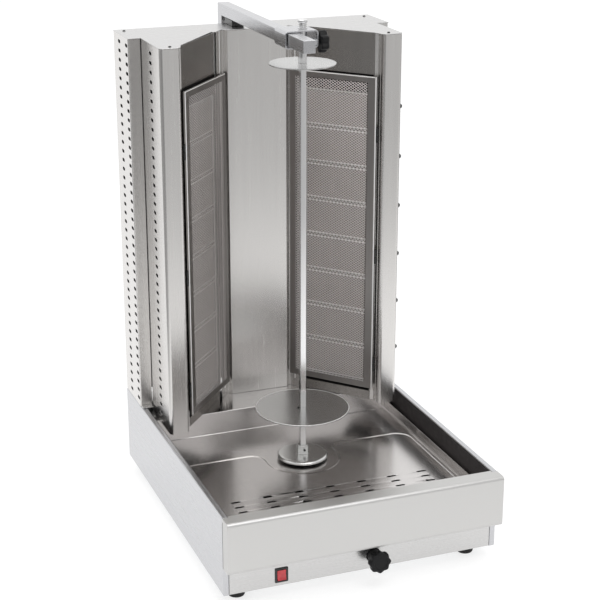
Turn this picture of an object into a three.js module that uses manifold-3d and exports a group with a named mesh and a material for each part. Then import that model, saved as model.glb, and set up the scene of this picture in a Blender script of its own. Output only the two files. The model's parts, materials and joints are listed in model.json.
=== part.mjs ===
// Upright gas-heated rotisserie grill: a sunken-tray base, a V-shaped burner tower and a turning spit.
// Millimetres, +Z up, front towards -Y. Everything is laid out from the front edge of the base
// sides (y = 0), the middle of the machine (x = 0) and the surface it stands on (z = 0); the group
// is moved at the end so that its origin is the middle of the footprint.
import * as THREE from "three";
import { mergeVertices } from "three/addons/utils/BufferGeometryUtils.js";
import Module from "manifold-3d";

const wasm = await Module();
wasm.setup();

// ---------- driving dimensions ----------
const HALF_W = 290;
const DEPTH = 686;
const SHEET = 1.5;
const GAP = 0.3;
const BASE_BOTTOM = 28;
const BASE_TOP = 194;
const STRIP_TOP = 86.5;
const RIM_IN = 278;
const APRON_OUT = 31;
const APRON_BOTTOM = 87;
const LIP_BACK = 5;
const TRAY_TOP = 128;
const TRAY_DROP = 4;
const TRAY_HALF = 272;
const TRAY_EDGE = 150;
const DECK_FRONT = 517;
const DECK_TOP = 178;
const TOWER_TOP = 1004;
const TOWER_FLOOR = DECK_TOP + 0.5;
const SIDE_BOX_FRONT = 572;
const COVER_X = 262;
const POST_FRONT = 434;
const SPIT_Y = 334;
const SPIT_TRAVEL = 40;
const ROD = 12;
const BASE_DISC = { r: 54, bottom: 131, top: 139 };
const COLLAR = { r: 13, top: 159 };
const LOWER_DISC = { r: 100, z: 243, t: 2.5, hubR: 14, hubH: 14 };
const UPPER_DISC = { r: 67, z: 976, t: 2.5 };
const PIN = { r: 9, top: 1058, capR: 9.6, capTop: 1062 };
const YOKE = { x0: -47.5, x1: 22, y0: 304, y1: 364, z0: 1010.5, z1: 1045.5, wall: 3 };
const ARM = { x0: -43, x1: -18, z0: 1016.5, z1: 1041.5, y0: 218, y1: 736, legBottom: 640, wall: 2 };
const TOP_KNOB = { y: 310, z: 1021, r: 22, x0: 24.5, x1: 40.5 };
const FRONT_KNOB = { x: 22, z: 57, r: 23, y0: -38, y1: -23 };
const SCREW_R = 5;
const SWITCH = { x: -171.5, z: 51.5, w: 27, h: 31 };
const FOOT = { x: 248, y: 48, r: 17, top: 29.5 };
const TILE = { count: 8, pitch: 81.6, first: 222, w0: 26, w1: 175, d: 18, h: 79.6, t: 13 };
const BURNER = { w0: 13, w1: 180, openW0: 24, openW1: 177, flange: 15, casingDepth: 50 };
const THROAT = { w: 100, d: 44, r: 11, bore: 8 };
const GUARD = { z0: 211, z1: 913, w0: 1.5, w1: 209, d0: 0, d1: 4, border: 3, mesh: 1.4 };
const GUARD_NEAR = [210, 445];
const GUARD_FAR = [70, 605];
const PLATE_D = 12;
const KNOB_FACE = FRONT_KNOB.y0;
const ORIGIN_Y = (KNOB_FACE + ARM.y1) / 2;

// ---------- materials ----------
const paint = (color, roughness, metalness) => new THREE.MeshStandardMaterial({ color, roughness, metalness });
const STEEL = paint(0xc4c5c6, 0.34, 0.95);
const STEEL_DARK = paint(0x8f8c88, 0.4, 0.9);
const CHROME = paint(0xd8d8d8, 0.16, 1);
const ZINC = paint(0xa9acae, 0.5, 0.8);
const CERAMIC = paint(0x9a8f88, 0.9, 0);
const BLACK = paint(0x1b1b1c, 0.45, 0);
const RUBBER = paint(0x111111, 0.85, 0);
const RED = paint(0xb8232e, 0.3, 0);
const BRASS = paint(0xb89552, 0.35, 1);

// ---------- geometry helpers ----------
const rad = (deg) => (deg * Math.PI) / 180;
const swapYZ = new THREE.Matrix4().makeBasis(
  new THREE.Vector3(1, 0, 0), new THREE.Vector3(0, 0, 1), new THREE.Vector3(0, -1, 0));
const alongX = new THREE.Matrix4().makeBasis(
  new THREE.Vector3(0, 1, 0), new THREE.Vector3(0, 0, 1), new THREE.Vector3(1, 0, 0));

function box(x0, x1, y0, y1, z0, z1) {
  const g = new THREE.BoxGeometry(x1 - x0, y1 - y0, z1 - z0);
  return g.translate((x0 + x1) / 2, (y0 + y1) / 2, (z0 + z1) / 2);
}

function outline(points) {
  return new THREE.Shape(points.map(([a, b]) => new THREE.Vector2(a, b)));
}

// A plan outline in x and y, raised from z0 to z1.
function prismZ(points, z0, z1) {
  const g = new THREE.ExtrudeGeometry(outline(points), { depth: z1 - z0, bevelEnabled: false });
  return g.translate(0, 0, z0);
}

// An outline in x and z, drawn out from y0 to y1.
function prismY(points, y0, y1) {
  const g = new THREE.ExtrudeGeometry(outline(points), { depth: y1 - y0, bevelEnabled: false });
  return g.applyMatrix4(swapYZ).translate(0, y1, 0);
}

// An outline in y and z, drawn out from x0 to x1.
function prismX(points, x0, x1) {
  const g = new THREE.ExtrudeGeometry(outline(points), { depth: x1 - x0, bevelEnabled: false });
  return g.applyMatrix4(alongX).translate(x0, 0, 0);
}

function cylinder(axis, r, from, to, at, sides = 24) {
  const g = new THREE.CylinderGeometry(r, r, to - from, sides);
  if (axis === "z") g.rotateX(Math.PI / 2);
  if (axis === "x") g.rotateZ(Math.PI / 2);
  const mid = (from + to) / 2;
  if (axis === "z") return g.translate(at[0], at[1], mid);
  if (axis === "x") return g.translate(mid, at[0], at[1]);
  return g.translate(at[0], mid, at[1]);
}

// A turned solid: [radius, height] points from the axis round to the axis again.
function turned(points, x, y, sides = 32) {
  const g = new THREE.LatheGeometry(points.map(([r, h]) => new THREE.Vector2(r, h)), sides);
  return g.rotateX(Math.PI / 2).translate(x, y, 0);
}

// Rounds the inner corners of an open path.
function rounded(path, radius, steps) {
  const result = [path[0]];
  for (let i = 1; i < path.length - 1; i++) {
    const p = new THREE.Vector2(...path[i]);
    const a = new THREE.Vector2(...path[i - 1]).sub(p).normalize();
    const b = new THREE.Vector2(...path[i + 1]).sub(p).normalize();
    const half = Math.acos(a.dot(b)) / 2;
    const reach = radius / Math.tan(half);
    const centre = a.clone().add(b).normalize().multiplyScalar(radius / Math.sin(half)).add(p);
    const start = a.clone().multiplyScalar(reach).add(p).sub(centre);
    const end = b.clone().multiplyScalar(reach).add(p).sub(centre);
    const turn = Math.atan2(start.cross(end), start.dot(end));
    for (let k = 0; k <= steps; k++) {
      const q = start.clone().rotateAround(new THREE.Vector2(), (turn * k) / steps).add(centre);
      result.push([q.x, q.y]);
    }
  }
  result.push(path[path.length - 1]);
  return result;
}

// The section of a folded sheet: the path is one face and the sheet lies to its left.
function folded(path, radius = 3, steps = 3, thickness = SHEET) {
  const face = rounded(path, radius, steps);
  const back = face.map((point, i) => {
    const p = new THREE.Vector2(...point);
    const before = i > 0 ? p.clone().sub(new THREE.Vector2(...face[i - 1])).normalize() : null;
    const after = i < face.length - 1 ? new THREE.Vector2(...face[i + 1]).sub(p).normalize() : null;
    const a = before ?? after;
    const b = after ?? before;
    const na = new THREE.Vector2(-a.y, a.x);
    const nb = new THREE.Vector2(-b.y, b.x);
    const n = na.clone().add(nb).normalize();
    const q = p.add(n.multiplyScalar(thickness / n.dot(na)));
    return [q.x, q.y];
  });
  return [...face, ...back.reverse()];
}

function toSolid(geometry) {
  const bare = geometry.index ? geometry.toNonIndexed() : geometry.clone();
  for (const name of Object.keys(bare.attributes)) {
    if (name !== "position") bare.deleteAttribute(name);
  }
  const merged = mergeVertices(bare, 1e-3);
  return new wasm.Manifold(new wasm.Mesh({
    numProp: 3,
    vertProperties: new Float32Array(merged.attributes.position.array),
    triVerts: new Uint32Array(merged.index.array),
  }));
}

function toGeometry(solid) {
  const mesh = solid.getMesh();
  const geometry = new THREE.BufferGeometry();
  geometry.setAttribute("position", new THREE.BufferAttribute(new Float32Array(mesh.vertProperties), 3));
  geometry.setIndex(new THREE.BufferAttribute(new Uint32Array(mesh.triVerts), 1));
  geometry.computeVertexNormals();
  return geometry;
}

function join(first, ...rest) {
  return toGeometry(rest.reduce((sum, g) => sum.add(toSolid(g)), toSolid(first)));
}

function cut(first, ...tools) {
  return toGeometry(tools.reduce((left, g) => left.subtract(toSolid(g)), toSolid(first)));
}

function mirrored(points) {
  return points.map(([x, y]) => [-x, y]).reverse();
}

// Mirrors a geometry across x = 0 and keeps its faces pointing out.
function mirrorX(geometry) {
  const g = geometry.index ? geometry.toNonIndexed() : geometry.clone();
  const position = g.attributes.position;
  for (let i = 0; i < position.count; i++) position.setX(i, -position.getX(i));
  for (let i = 0; i < position.count; i += 3) {
    const a = new THREE.Vector3().fromBufferAttribute(position, i);
    const b = new THREE.Vector3().fromBufferAttribute(position, i + 1);
    position.setXYZ(i, b.x, b.y, b.z);
    position.setXYZ(i + 1, a.x, a.y, a.z);
  }
  g.computeVertexNormals();
  return g;
}

// Places along the right-hand burner: w runs from the post to the back, d runs away from the spit.
const burnerSpan = Math.hypot(GUARD_FAR[0] - GUARD_NEAR[0], GUARD_FAR[1] - GUARD_NEAR[1]);
const alongBurner = [(GUARD_FAR[0] - GUARD_NEAR[0]) / burnerSpan, (GUARD_FAR[1] - GUARD_NEAR[1]) / burnerSpan];
const behindBurner = [alongBurner[1], -alongBurner[0]];

function atBurner(w, d) {
  return [
    GUARD_NEAR[0] + w * alongBurner[0] + d * behindBurner[0],
    GUARD_NEAR[1] + w * alongBurner[1] + d * behindBurner[1],
  ];
}

function burnerBox(w0, w1, d0, d1, z0, z1) {
  return prismZ([atBurner(w0, d0), atBurner(w0, d1), atBurner(w1, d1), atBurner(w1, d0)], z0, z1);
}

// ---------- the machine ----------
const machine = new THREE.Group();
const model = new THREE.Group();
machine.position.y = -ORIGIN_Y;
model.add(machine);

function add(name, geometry, material) {
  const mesh = new THREE.Mesh(geometry, material);
  mesh.name = name;
  machine.add(mesh);
}

function addPair(name, rightGeometry, material) {
  add("right_" + name, rightGeometry, material);
  add("left_" + name, mirrorX(rightGeometry), material);
}

// ---------- base ----------
function baseSide() {
  const section = folded([
    [RIM_IN, BASE_BOTTOM], [HALF_W, BASE_BOTTOM], [HALF_W, BASE_TOP], [RIM_IN, BASE_TOP], [RIM_IN, 140],
  ], 2.2, 3);
  const inSheet = SHEET / 2;
  const flange = (y0, y1) => box(
    RIM_IN + inSheet, HALF_W - inSheet, y0, y1, BASE_BOTTOM + inSheet, BASE_TOP - inSheet);
  return join(prismY(section, 0, DEPTH), flange(0, SHEET), flange(DEPTH - SHEET, DEPTH));
}

function controlPanel() {
  const section = folded([[15, STRIP_TOP], [0, STRIP_TOP], [0, BASE_BOTTOM], [15, BASE_BOTTOM]], 2.2, 3);
  const half = RIM_IN - GAP;
  return cut(
    prismX(section, -half, half),
    box(SWITCH.x - 11, SWITCH.x + 11, -1, 4, SWITCH.z - 13.5, SWITCH.z + 13.5),
    cylinder("y", SCREW_R + 1.5, -1, 4, [FRONT_KNOB.x, FRONT_KNOB.z]));
}

function bottomPan() {
  const z0 = BASE_BOTTOM + SHEET + GAP;
  return box(-286, 286, 16, DEPTH - 2, z0, z0 + SHEET);
}

function backPanel() {
  const half = RIM_IN - GAP;
  const holes = [
    [GLAND.x, GLAND.z, 8.5], [GAS.inletX, GAS.z, 12.5], [GAS.knobX, GAS.knobZ, 6], [-GAS.knobX, GAS.knobZ, 6],
  ];
  return cut(
    box(-half, half, DEPTH - SHEET, DEPTH, BASE_BOTTOM + 4, DECK_TOP - SHEET - GAP),
    ...holes.map(([x, z, r]) => cylinder("y", r, DEPTH - 5, DEPTH + 5, [x, z])));
}

function foot(x, y) {
  const r = FOOT.r;
  return turned([
    [0, 0], [r - 2, 0], [r, 2], [r, 9], [r - 3, 12], [r - 5, 15], [r - 5, FOOT.top], [0, FOOT.top],
  ], x, y, 24);
}

// The sunk floor of the tray runs round a raised boss that is concentric with the spit.
function recessOutline(grow) {
  const half = 262 + grow;
  const front = 14 - grow;
  const back = 379 + grow;
  const corner = 35 + grow;
  const boss = 80 - grow;
  const blend = 30 + grow;
  const blendY = back - blend;
  const blendX = Math.sqrt((boss + blend) ** 2 - (blendY - SPIT_Y) ** 2);
  const meet = Math.atan2(blendY - SPIT_Y, blendX);
  const shape = new THREE.Path();
  shape.moveTo(half, front);
  shape.lineTo(half, back - corner);
  shape.absarc(half - corner, back - corner, corner, 0, Math.PI / 2, false);
  shape.absarc(blendX, blendY, blend, Math.PI / 2, Math.PI + meet, false);
  shape.absarc(0, SPIT_Y, boss, meet, Math.PI - meet, true);
  shape.absarc(-blendX, blendY, blend, -meet, Math.PI / 2, false);
  shape.absarc(corner - half, back - corner, corner, Math.PI / 2, Math.PI, false);
  shape.lineTo(-half, front);
  const points = shape.getPoints(10).map((p) => [p.x, p.y]);
  const apart = (p, q) => Math.hypot(p[0] - q[0], p[1] - q[1]) > 0.01;
  return points.filter((p, i) => i === 0 || apart(p, points[i - 1]));
}

function drainSlots() {
  const slots = [];
  for (let group = -3; group <= 3; group++) {
    for (const y of [127, 150, 174]) {
      const x = group * 68.5;
      slots.push(box(x - 9, x + 9, y - 2.2, y + 2.2, TRAY_TOP - 10, TRAY_TOP + 2));
    }
  }
  return slots;
}

function dripTray() {
  const back = DECK_FRONT - 0.5;
  const floor = box(-TRAY_HALF, TRAY_HALF, 2, back, TRAY_TOP - SHEET, TRAY_TOP);
  const pan = prismZ(recessOutline(SHEET), TRAY_TOP - TRAY_DROP - SHEET, TRAY_TOP - 0.2);
  const frontWall = box(-TRAY_HALF, TRAY_HALF, 2, 2 + SHEET, TRAY_TOP - 1, 190);
  const backWall = box(-TRAY_HALF, TRAY_HALF, back - SHEET, back, TRAY_TOP - 1, TRAY_EDGE);
  const sideWall = box(TRAY_HALF - SHEET, TRAY_HALF, 2, back, TRAY_TOP - 1, TRAY_EDGE);
  const otherWall = box(-TRAY_HALF, SHEET - TRAY_HALF, 2, back, TRAY_TOP - 1, TRAY_EDGE);
  return cut(
    join(floor, pan, frontWall, backWall, sideWall, otherWall),
    prismZ(recessOutline(0), TRAY_TOP - TRAY_DROP, TRAY_TOP + 2),
    box(-12, 12, SPIT_Y - 12, SPIT_Y + SPIT_TRAVEL + 12, TRAY_TOP - 10, TRAY_TOP + 2),
    ...drainSlots());
}

// The front apron is the front of a pull-out juice drawer.
function juiceDrawer() {
  const section = folded([
    [-3, APRON_BOTTOM], [-APRON_OUT, APRON_BOTTOM], [-APRON_OUT, BASE_TOP], [LIP_BACK, BASE_TOP],
  ].reverse(), 7, 8);
  const apron = prismX(section, -HALF_W, HALF_W);
  const notch = box(RIM_IN - 0.5, HALF_W + 1, -0.5, LIP_BACK + 1, BASE_TOP - 5, BASE_TOP + 1);
  const otherNotch = box(-HALF_W - 1, 0.5 - RIM_IN, -0.5, LIP_BACK + 1, BASE_TOP - 5, BASE_TOP + 1);
  const cheekOutline = rounded([
    [-0.5, APRON_BOTTOM], [-APRON_OUT, APRON_BOTTOM], [-APRON_OUT, BASE_TOP], [-0.5, BASE_TOP],
  ], 7, 8);
  const cheek = prismX(cheekOutline, HALF_W - SHEET, HALF_W);
  const otherCheek = prismX(cheekOutline, -HALF_W, SHEET - HALF_W);
  const pan = box(-235, 235, -30, 195, 90, 118);
  const hollow = box(-235 + SHEET, 235 - SHEET, -29.5, 195 - SHEET, 90 + SHEET, 125);
  return join(cut(apron, notch, otherNotch), cheek, otherCheek, cut(pan, hollow));
}

function rearDeck() {
  const section = folded([[DECK_FRONT, 131], [DECK_FRONT, DECK_TOP], [DEPTH - 2, DECK_TOP]].reverse(), 2.2, 2);
  const half = RIM_IN - GAP;
  const [vx, vy] = atBurner(THROAT.w, THROAT.d);
  const hole = (x) => cylinder("z", THROAT.r + 2, DECK_TOP - 5, DECK_TOP + 5, [x, vy], 16);
  return cut(prismX(section, -half, half), hole(vx), hole(-vx));
}

// ---------- drive ----------
const RAIL = { x: 70, y0: 232, y1: 470, z0: 60, z1: 72 };

function slideFrame() {
  const floor = BASE_BOTTOM + 2 * SHEET + 2 * GAP;
  const cross = (y) => box(-82, 82, y, y + 4, floor, RAIL.z1);
  const rails = [-1, 1].map((side) => box(
    side * RAIL.x - 6, side * RAIL.x + 6, RAIL.y0 + 2, RAIL.y1 - 2, RAIL.z0, RAIL.z1));
  return cut(
    join(cross(RAIL.y0), cross(RAIL.y1 - 4), ...rails),
    cylinder("y", SCREW_R + 0.6, RAIL.y0 - 5, RAIL.y0 + 8, [FRONT_KNOB.x, FRONT_KNOB.z]));
}

function carriage() {
  const plate = box(-86, 86, 279, 410, 76, 80);
  const shoe = (side) => box(side * RAIL.x - 10, side * RAIL.x + 10, 285, 400, RAIL.z1 + GAP, 77);
  const nut = box(FRONT_KNOB.x - 11, FRONT_KNOB.x + 11, 298, 326, 46, 77);
  return cut(
    join(plate, shoe(-1), shoe(1), nut),
    cylinder("y", SCREW_R + 0.4, 290, 335, [FRONT_KNOB.x, FRONT_KNOB.z]),
    cylinder("z", 31, 70, 90, [0, 372], 32));
}

function gearMotor() {
  const gearbox = box(-45, 45, 297, 412, 80 + GAP, 112);
  const motor = cylinder("z", 29.5, 38, 84, [0, 372], 32);
  return join(gearbox, motor);
}

function driveHub() {
  return turned([[0, 112.3], [14, 112.3], [14, 117], [9, 118], [9, 130.7], [0, 130.7]], 0, SPIT_Y, 24);
}

function leadScrew() {
  const rod = cylinder("y", SCREW_R, FRONT_KNOB.y1 + 10, 334, [FRONT_KNOB.x, FRONT_KNOB.z], 20);
  const stop = cylinder("y", SCREW_R + 4, 4, 10, [FRONT_KNOB.x, FRONT_KNOB.z], 20);
  return join(rod, stop);
}

// A hand knob with scalloped lobes, drawn about its own axis.
function knobOutline(r, lobes) {
  const points = [];
  for (let i = 0; i < lobes * 6; i++) {
    const angle = (i / (lobes * 6)) * 2 * Math.PI;
    const reach = r - 1.3 + 1.3 * Math.cos(lobes * angle);
    points.push([reach * Math.cos(angle), reach * Math.sin(angle)]);
  }
  return points;
}

function frontKnob() {
  const star = knobOutline(FRONT_KNOB.r, 8).map(([a, b]) => [a + FRONT_KNOB.x, b + FRONT_KNOB.z]);
  const head = prismY(star, FRONT_KNOB.y0, FRONT_KNOB.y1);
  const hub = cylinder("y", 14, FRONT_KNOB.y1 - 1, -1.2, [FRONT_KNOB.x, FRONT_KNOB.z]);
  const bore = cylinder("y", SCREW_R + GAP, FRONT_KNOB.y1 + 9.7, 2, [FRONT_KNOB.x, FRONT_KNOB.z], 20);
  return cut(join(head, hub), bore);
}

function switchHousing() {
  const { x, z, w, h } = SWITCH;
  const bezel = box(x - w / 2, x + w / 2, -2.5, -GAP, z - h / 2, z + h / 2);
  const body = box(x - 10.5, x + 10.5, -1, 22, z - 13, z + 13);
  return cut(join(bezel, body), box(x - 9.2, x + 9.2, -4, 9, z - 12, z + 12));
}

function switchRocker() {
  const { x, z } = SWITCH;
  const side = [[5, -7], [5, 7], [-1.2, 10.6], [-3.4, 10.3], [-2.2, 0], [-3.4, -10.3], [-1.2, -10.6]];
  const tilt = rad(-7);
  const turnedSide = side.map(([y, h]) => [
    y * Math.cos(tilt) - h * Math.sin(tilt), z + y * Math.sin(tilt) + h * Math.cos(tilt)]);
  return prismX(turnedSide.reverse(), x - 8.8, x + 8.8);
}

// ---------- services at the back ----------
const GLAND = { x: -200, z: 70 };
const GAS = { z: 110, y: 640, r: 8, inletX: 150, knobX: 75, knobZ: 110 };

function cableGland() {
  const nut = cylinder("y", 12, DEPTH + GAP, DEPTH + 9, [GLAND.x, GLAND.z], 6);
  const thread = cylinder("y", 8, DEPTH - 14, DEPTH + 1, [GLAND.x, GLAND.z], 16);
  const dome = cylinder("y", 8.5, DEPTH + 8, DEPTH + 17, [GLAND.x, GLAND.z], 16);
  return cut(join(nut, thread, dome), cylinder("y", 4, DEPTH - 20, DEPTH + 20, [GLAND.x, GLAND.z], 12));
}

function gasManifold() {
  const [vx, vy] = atBurner(THROAT.w, THROAT.d);
  const { z, y, r, inletX } = GAS;
  const rail = cylinder("x", r, -vx - r, vx + r, [y, z], 14);
  const arms = [-1, 1].flatMap((side) => [
    cylinder("y", r * 0.8, vy - 5, y, [side * vx, z], 12),
    cylinder("z", r * 0.7, z, DECK_TOP + 5, [side * vx, vy], 12),
  ]);
  const inlet = cylinder("y", r, y, DEPTH + 16, [inletX, z], 14);
  const fitting = cylinder("y", 12, DEPTH - 2, DEPTH + 12, [inletX, z], 6);
  const taps = [-1, 1].map((side) => box(
    side * GAS.knobX - 12, side * GAS.knobX + 12, y - 12, y + 20, z - 12, z + 12));
  return join(rail, ...arms, inlet, fitting, ...taps);
}

function gasKnob(side) {
  const x = side * GAS.knobX;
  const skirt = cylinder("y", 19, DEPTH + 2, DEPTH + 9, [x, GAS.knobZ], 28);
  const drum = cylinder("y", 15, DEPTH + 8, DEPTH + 22, [x, GAS.knobZ], 28);
  const grip = box(x - 3.5, x + 3.5, DEPTH + 8, DEPTH + 25, GAS.knobZ - 17, GAS.knobZ + 17);
  const stem = cylinder("y", 4, GAS.y + 20 + GAP, DEPTH + 3, [x, GAS.knobZ], 12);
  return join(skirt, drum, grip, stem);
}

// ---------- tower ----------
const SHELL_TOP = TOWER_TOP - SHEET - GAP;

function sidePanel() {
  const section = folded([
    [HALF_W - 1, DEPTH], [HALF_W - 1, SIDE_BOX_FRONT], [COVER_X + 1, SIDE_BOX_FRONT],
  ].reverse(), 2.5, 2);
  return prismZ(section, BASE_TOP + GAP, SHELL_TOP);
}

function columnCover() {
  const section = folded([
    [219, 461], [219, POST_FRONT], [COVER_X, POST_FRONT], [COVER_X, SIDE_BOX_FRONT - 0.6],
  ], 8, 8);
  return prismZ(section, TOWER_FLOOR, SHELL_TOP);
}

function burnerFrame() {
  const { w0, w1, openW0, openW1, flange } = BURNER;
  const back = PLATE_D + flange;
  const section = folded([
    atBurner(w0, back), atBurner(w0, PLATE_D), atBurner(w1, PLATE_D), atBurner(w1, back),
  ].reverse(), 2.5, 3);
  const bottom = TILE.first - 3;
  const top = TILE.first + TILE.count * TILE.pitch + 1;
  return cut(
    prismZ(section, TOWER_FLOOR, SHELL_TOP),
    burnerBox(openW0, openW1, PLATE_D - 3, PLATE_D + 4, bottom, top));
}

// Open-fronted casing that carries the tiles, with its gas throat underneath.
function burnerCasing() {
  const wall = 2;
  const w0 = TILE.w0 - 1.5 - wall;
  const w1 = TILE.w1 + 1.2 + wall;
  const bottom = TILE.first - 4.5;
  const top = TILE.first + TILE.count * TILE.pitch + 2.5;
  const back = PLATE_D + BURNER.casingDepth;
  const shell = burnerBox(w0, w1, PLATE_D + 3, back, bottom, top);
  const hollow = burnerBox(w0 + wall, w1 - wall, PLATE_D, back - wall, bottom + wall, top - wall);
  const [vx, vy] = atBurner(THROAT.w, THROAT.d);
  const throat = cylinder("z", THROAT.r, DECK_TOP - 4, bottom + 1, [vx, vy], 16);
  const bore = cylinder("z", THROAT.bore, DECK_TOP - 6, bottom + 4, [vx, vy], 16);
  return cut(join(shell, throat), hollow, bore);
}

function burnerTile(index) {
  const z0 = TILE.first + index * TILE.pitch;
  return burnerBox(TILE.w0, TILE.w1, TILE.d, TILE.d + TILE.t, z0, z0 + TILE.h);
}

// A hinged guard: a shallow framed tray with a thin mesh field and a pin along its post edge.
function guard() {
  const { z0, z1, w0, w1, d0, d1, border, mesh } = GUARD;
  const dish = burnerBox(w0 + border, w1 - border, d0 + mesh, d1 + 2, z0 + border, z1 - border);
  return cut(burnerBox(w0, w1, d0, d1, z0, z1), dish);
}

function backPlate() {
  const half = [[66, 603], [74, 612], [94, 590]];
  return prismZ(folded([...mirrored(half), ...half], 2, 2), TOWER_FLOOR, SHELL_TOP);
}

function towerBack() {
  const half = HALF_W - 2.8;
  const section = folded([
    [DEPTH - 16, BASE_TOP + GAP], [DEPTH, BASE_TOP + GAP], [DEPTH, SHELL_TOP], [DEPTH - 16, SHELL_TOP],
  ], 2.5, 2);
  return prismX(section, -half, half);
}

function topCover() {
  const half = [
    [66, 602.3], [74.3, 611.5], [94.5, 589.3], [104, 591.5], [209, 464], [218, 438], [223, POST_FRONT - 0.5],
    [256, POST_FRONT - 0.5], [COVER_X + 0.5, 440], [COVER_X + 0.5, SIDE_BOX_FRONT - 0.5],
    [HALF_W, SIDE_BOX_FRONT - 0.5], [HALF_W, DEPTH + 0.5],
  ];
  return prismZ([...mirrored(half), ...half].reverse(), TOWER_TOP - SHEET, TOWER_TOP);
}

// ---------- spit ----------
const SOCKET_CLEAR = 0.3;

function squareHole(z0, z1) {
  const half = ROD / 2 + SOCKET_CLEAR;
  return box(-half, half, SPIT_Y - half, SPIT_Y + half, z0, z1);
}

function baseDisc() {
  const { r, bottom, top } = BASE_DISC;
  const profile = [
    [0, bottom], [r - 3, bottom], [r, bottom + 2.5], [r, top - 2], [r - 2, top], [COLLAR.r, top],
    [COLLAR.r, COLLAR.top - 2], [COLLAR.r - 2, COLLAR.top], [0, COLLAR.top],
  ];
  return cut(turned(profile, 0, SPIT_Y, 48), squareHole(bottom + 2, COLLAR.top + 2));
}

function lowerDisc() {
  const z0 = LOWER_DISC.z - LOWER_DISC.t / 2;
  const z1 = z0 + LOWER_DISC.t;
  const { r, hubR, hubH } = LOWER_DISC;
  const profile = [[0, z0 - hubH], [hubR, z0 - hubH], [hubR, z0], [r, z0], [r, z1], [0, z1]];
  return cut(turned(profile, 0, SPIT_Y, 64), squareHole(z0 - 20, z0 + 10));
}

function upperDisc() {
  const z0 = UPPER_DISC.z - UPPER_DISC.t / 2;
  return cut(cylinder("z", UPPER_DISC.r, z0, z0 + UPPER_DISC.t, [0, SPIT_Y], 56), squareHole(z0 - 5, z0 + 5));
}

function spitRod() {
  const half = ROD / 2;
  const shoulder = UPPER_DISC.z + UPPER_DISC.t / 2 + GAP;
  const square = box(-half, half, SPIT_Y - half, SPIT_Y + half, BASE_DISC.bottom + 2.3, shoulder + 1);
  const pin = turned([
    [0, shoulder], [PIN.r, shoulder], [PIN.r, PIN.top], [PIN.capR, PIN.top],
    [PIN.capR, PIN.capTop - 1], [PIN.capR - 1, PIN.capTop], [0, PIN.capTop],
  ], 0, SPIT_Y, 24);
  return join(square, pin);
}

// ---------- arm and yoke ----------
function armTube() {
  const { x0, x1, z0, z1, y0, y1, legBottom, wall } = ARM;
  const outer = [[y0, z0], [y1 - 25, z0], [y1 - 25, legBottom], [y1, legBottom], [y1, z1], [y0, z1]];
  const inner = [
    [y0 + wall, z0 + wall], [y1 - 25 + wall, z0 + wall], [y1 - 25 + wall, legBottom - 5],
    [y1 - wall, legBottom - 5], [y1 - wall, z1 - wall], [y0 + wall, z1 - wall],
  ];
  const lugs = [690, 940].map((z) => box(x0 - 10, x1 + 10, DEPTH + GAP, y1 - 25 + wall, z, z + 32));
  return cut(join(prismX(outer, x0, x1), ...lugs), prismX(inner, x0 + wall, x1 - wall));
}

function topYoke() {
  const { x0, x1, y0, y1, z0, z1, wall } = YOKE;
  const cx = (x0 + x1) / 2;
  const ring = (inset, radius) => {
    const path = [
      [cx, z0 + inset], [x1 - inset, z0 + inset], [x1 - inset, z1 - inset], [x0 + inset, z1 - inset],
      [x0 + inset, z0 + inset], [cx - 1, z0 + inset],
    ];
    return rounded(path, radius, 4);
  };
  return cut(
    prismY(ring(0, 7), y0, y1),
    prismY(ring(wall, 3), y0 - 5, y1 + 5),
    cylinder("z", PIN.r + 0.5, z0 - 5, z1 + 5, [0, SPIT_Y]),
    cylinder("x", 4.5, x1 - 8, x1 + 5, [TOP_KNOB.y, TOP_KNOB.z], 16));
}

function topKnob() {
  const { y, z, r, x0, x1 } = TOP_KNOB;
  const star = knobOutline(r, 8).map(([a, b]) => [a + y, b + z]);
  const shank = cylinder("x", 4, ARM.x1 + 0.8, x0 + 2, [y, z], 16);
  return join(prismX(star, x0, x1), shank);
}

// ---------- assembly ----------
addPair("base_side", baseSide(), STEEL);
add("control_panel", controlPanel(), STEEL);
add("bottom_pan", bottomPan(), ZINC);
add("base_back_panel", backPanel(), STEEL);
for (const [place, x, y] of [
  ["front_left", -FOOT.x, FOOT.y], ["front_right", FOOT.x, FOOT.y],
  ["rear_left", -FOOT.x, DEPTH - FOOT.y], ["rear_right", FOOT.x, DEPTH - FOOT.y],
]) add("foot_" + place, foot(x, y), RUBBER);
add("drip_tray", dripTray(), STEEL);
add("juice_drawer", juiceDrawer(), STEEL);
add("rear_deck", rearDeck(), STEEL);

add("slide_frame", slideFrame(), ZINC);
add("carriage", carriage(), ZINC);
add("gear_motor", gearMotor(), ZINC);
add("drive_hub", driveHub(), CHROME);
add("lead_screw", leadScrew(), ZINC);
add("front_knob", frontKnob(), BLACK);
add("switch_housing", switchHousing(), BLACK);
add("switch_rocker", switchRocker(), RED);

add("cable_gland", cableGland(), BLACK);
add("gas_manifold", gasManifold(), BRASS);
add("left_gas_knob", gasKnob(-1), BLACK);
add("right_gas_knob", gasKnob(1), BLACK);

addPair("side_panel", sidePanel(), STEEL);
addPair("column_cover", columnCover(), STEEL);
addPair("burner_frame", burnerFrame(), STEEL_DARK);
addPair("burner_casing", burnerCasing(), ZINC);
for (let i = 0; i < TILE.count; i++) addPair("burner_tile_" + (i + 1), burnerTile(i), CERAMIC);
addPair("mesh_guard", guard(), STEEL_DARK);
add("back_plate", backPlate(), STEEL);
add("tower_back", towerBack(), STEEL);
add("top_cover", topCover(), STEEL);

add("base_disc", baseDisc(), CHROME);
add("lower_disc", lowerDisc(), STEEL);
add("upper_disc", upperDisc(), STEEL);
add("spit_rod", spitRod(), CHROME);

add("arm_tube", armTube(), STEEL);
add("top_yoke", topYoke(), STEEL);
add("top_knob", topKnob(), BLACK);

export default model;
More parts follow.
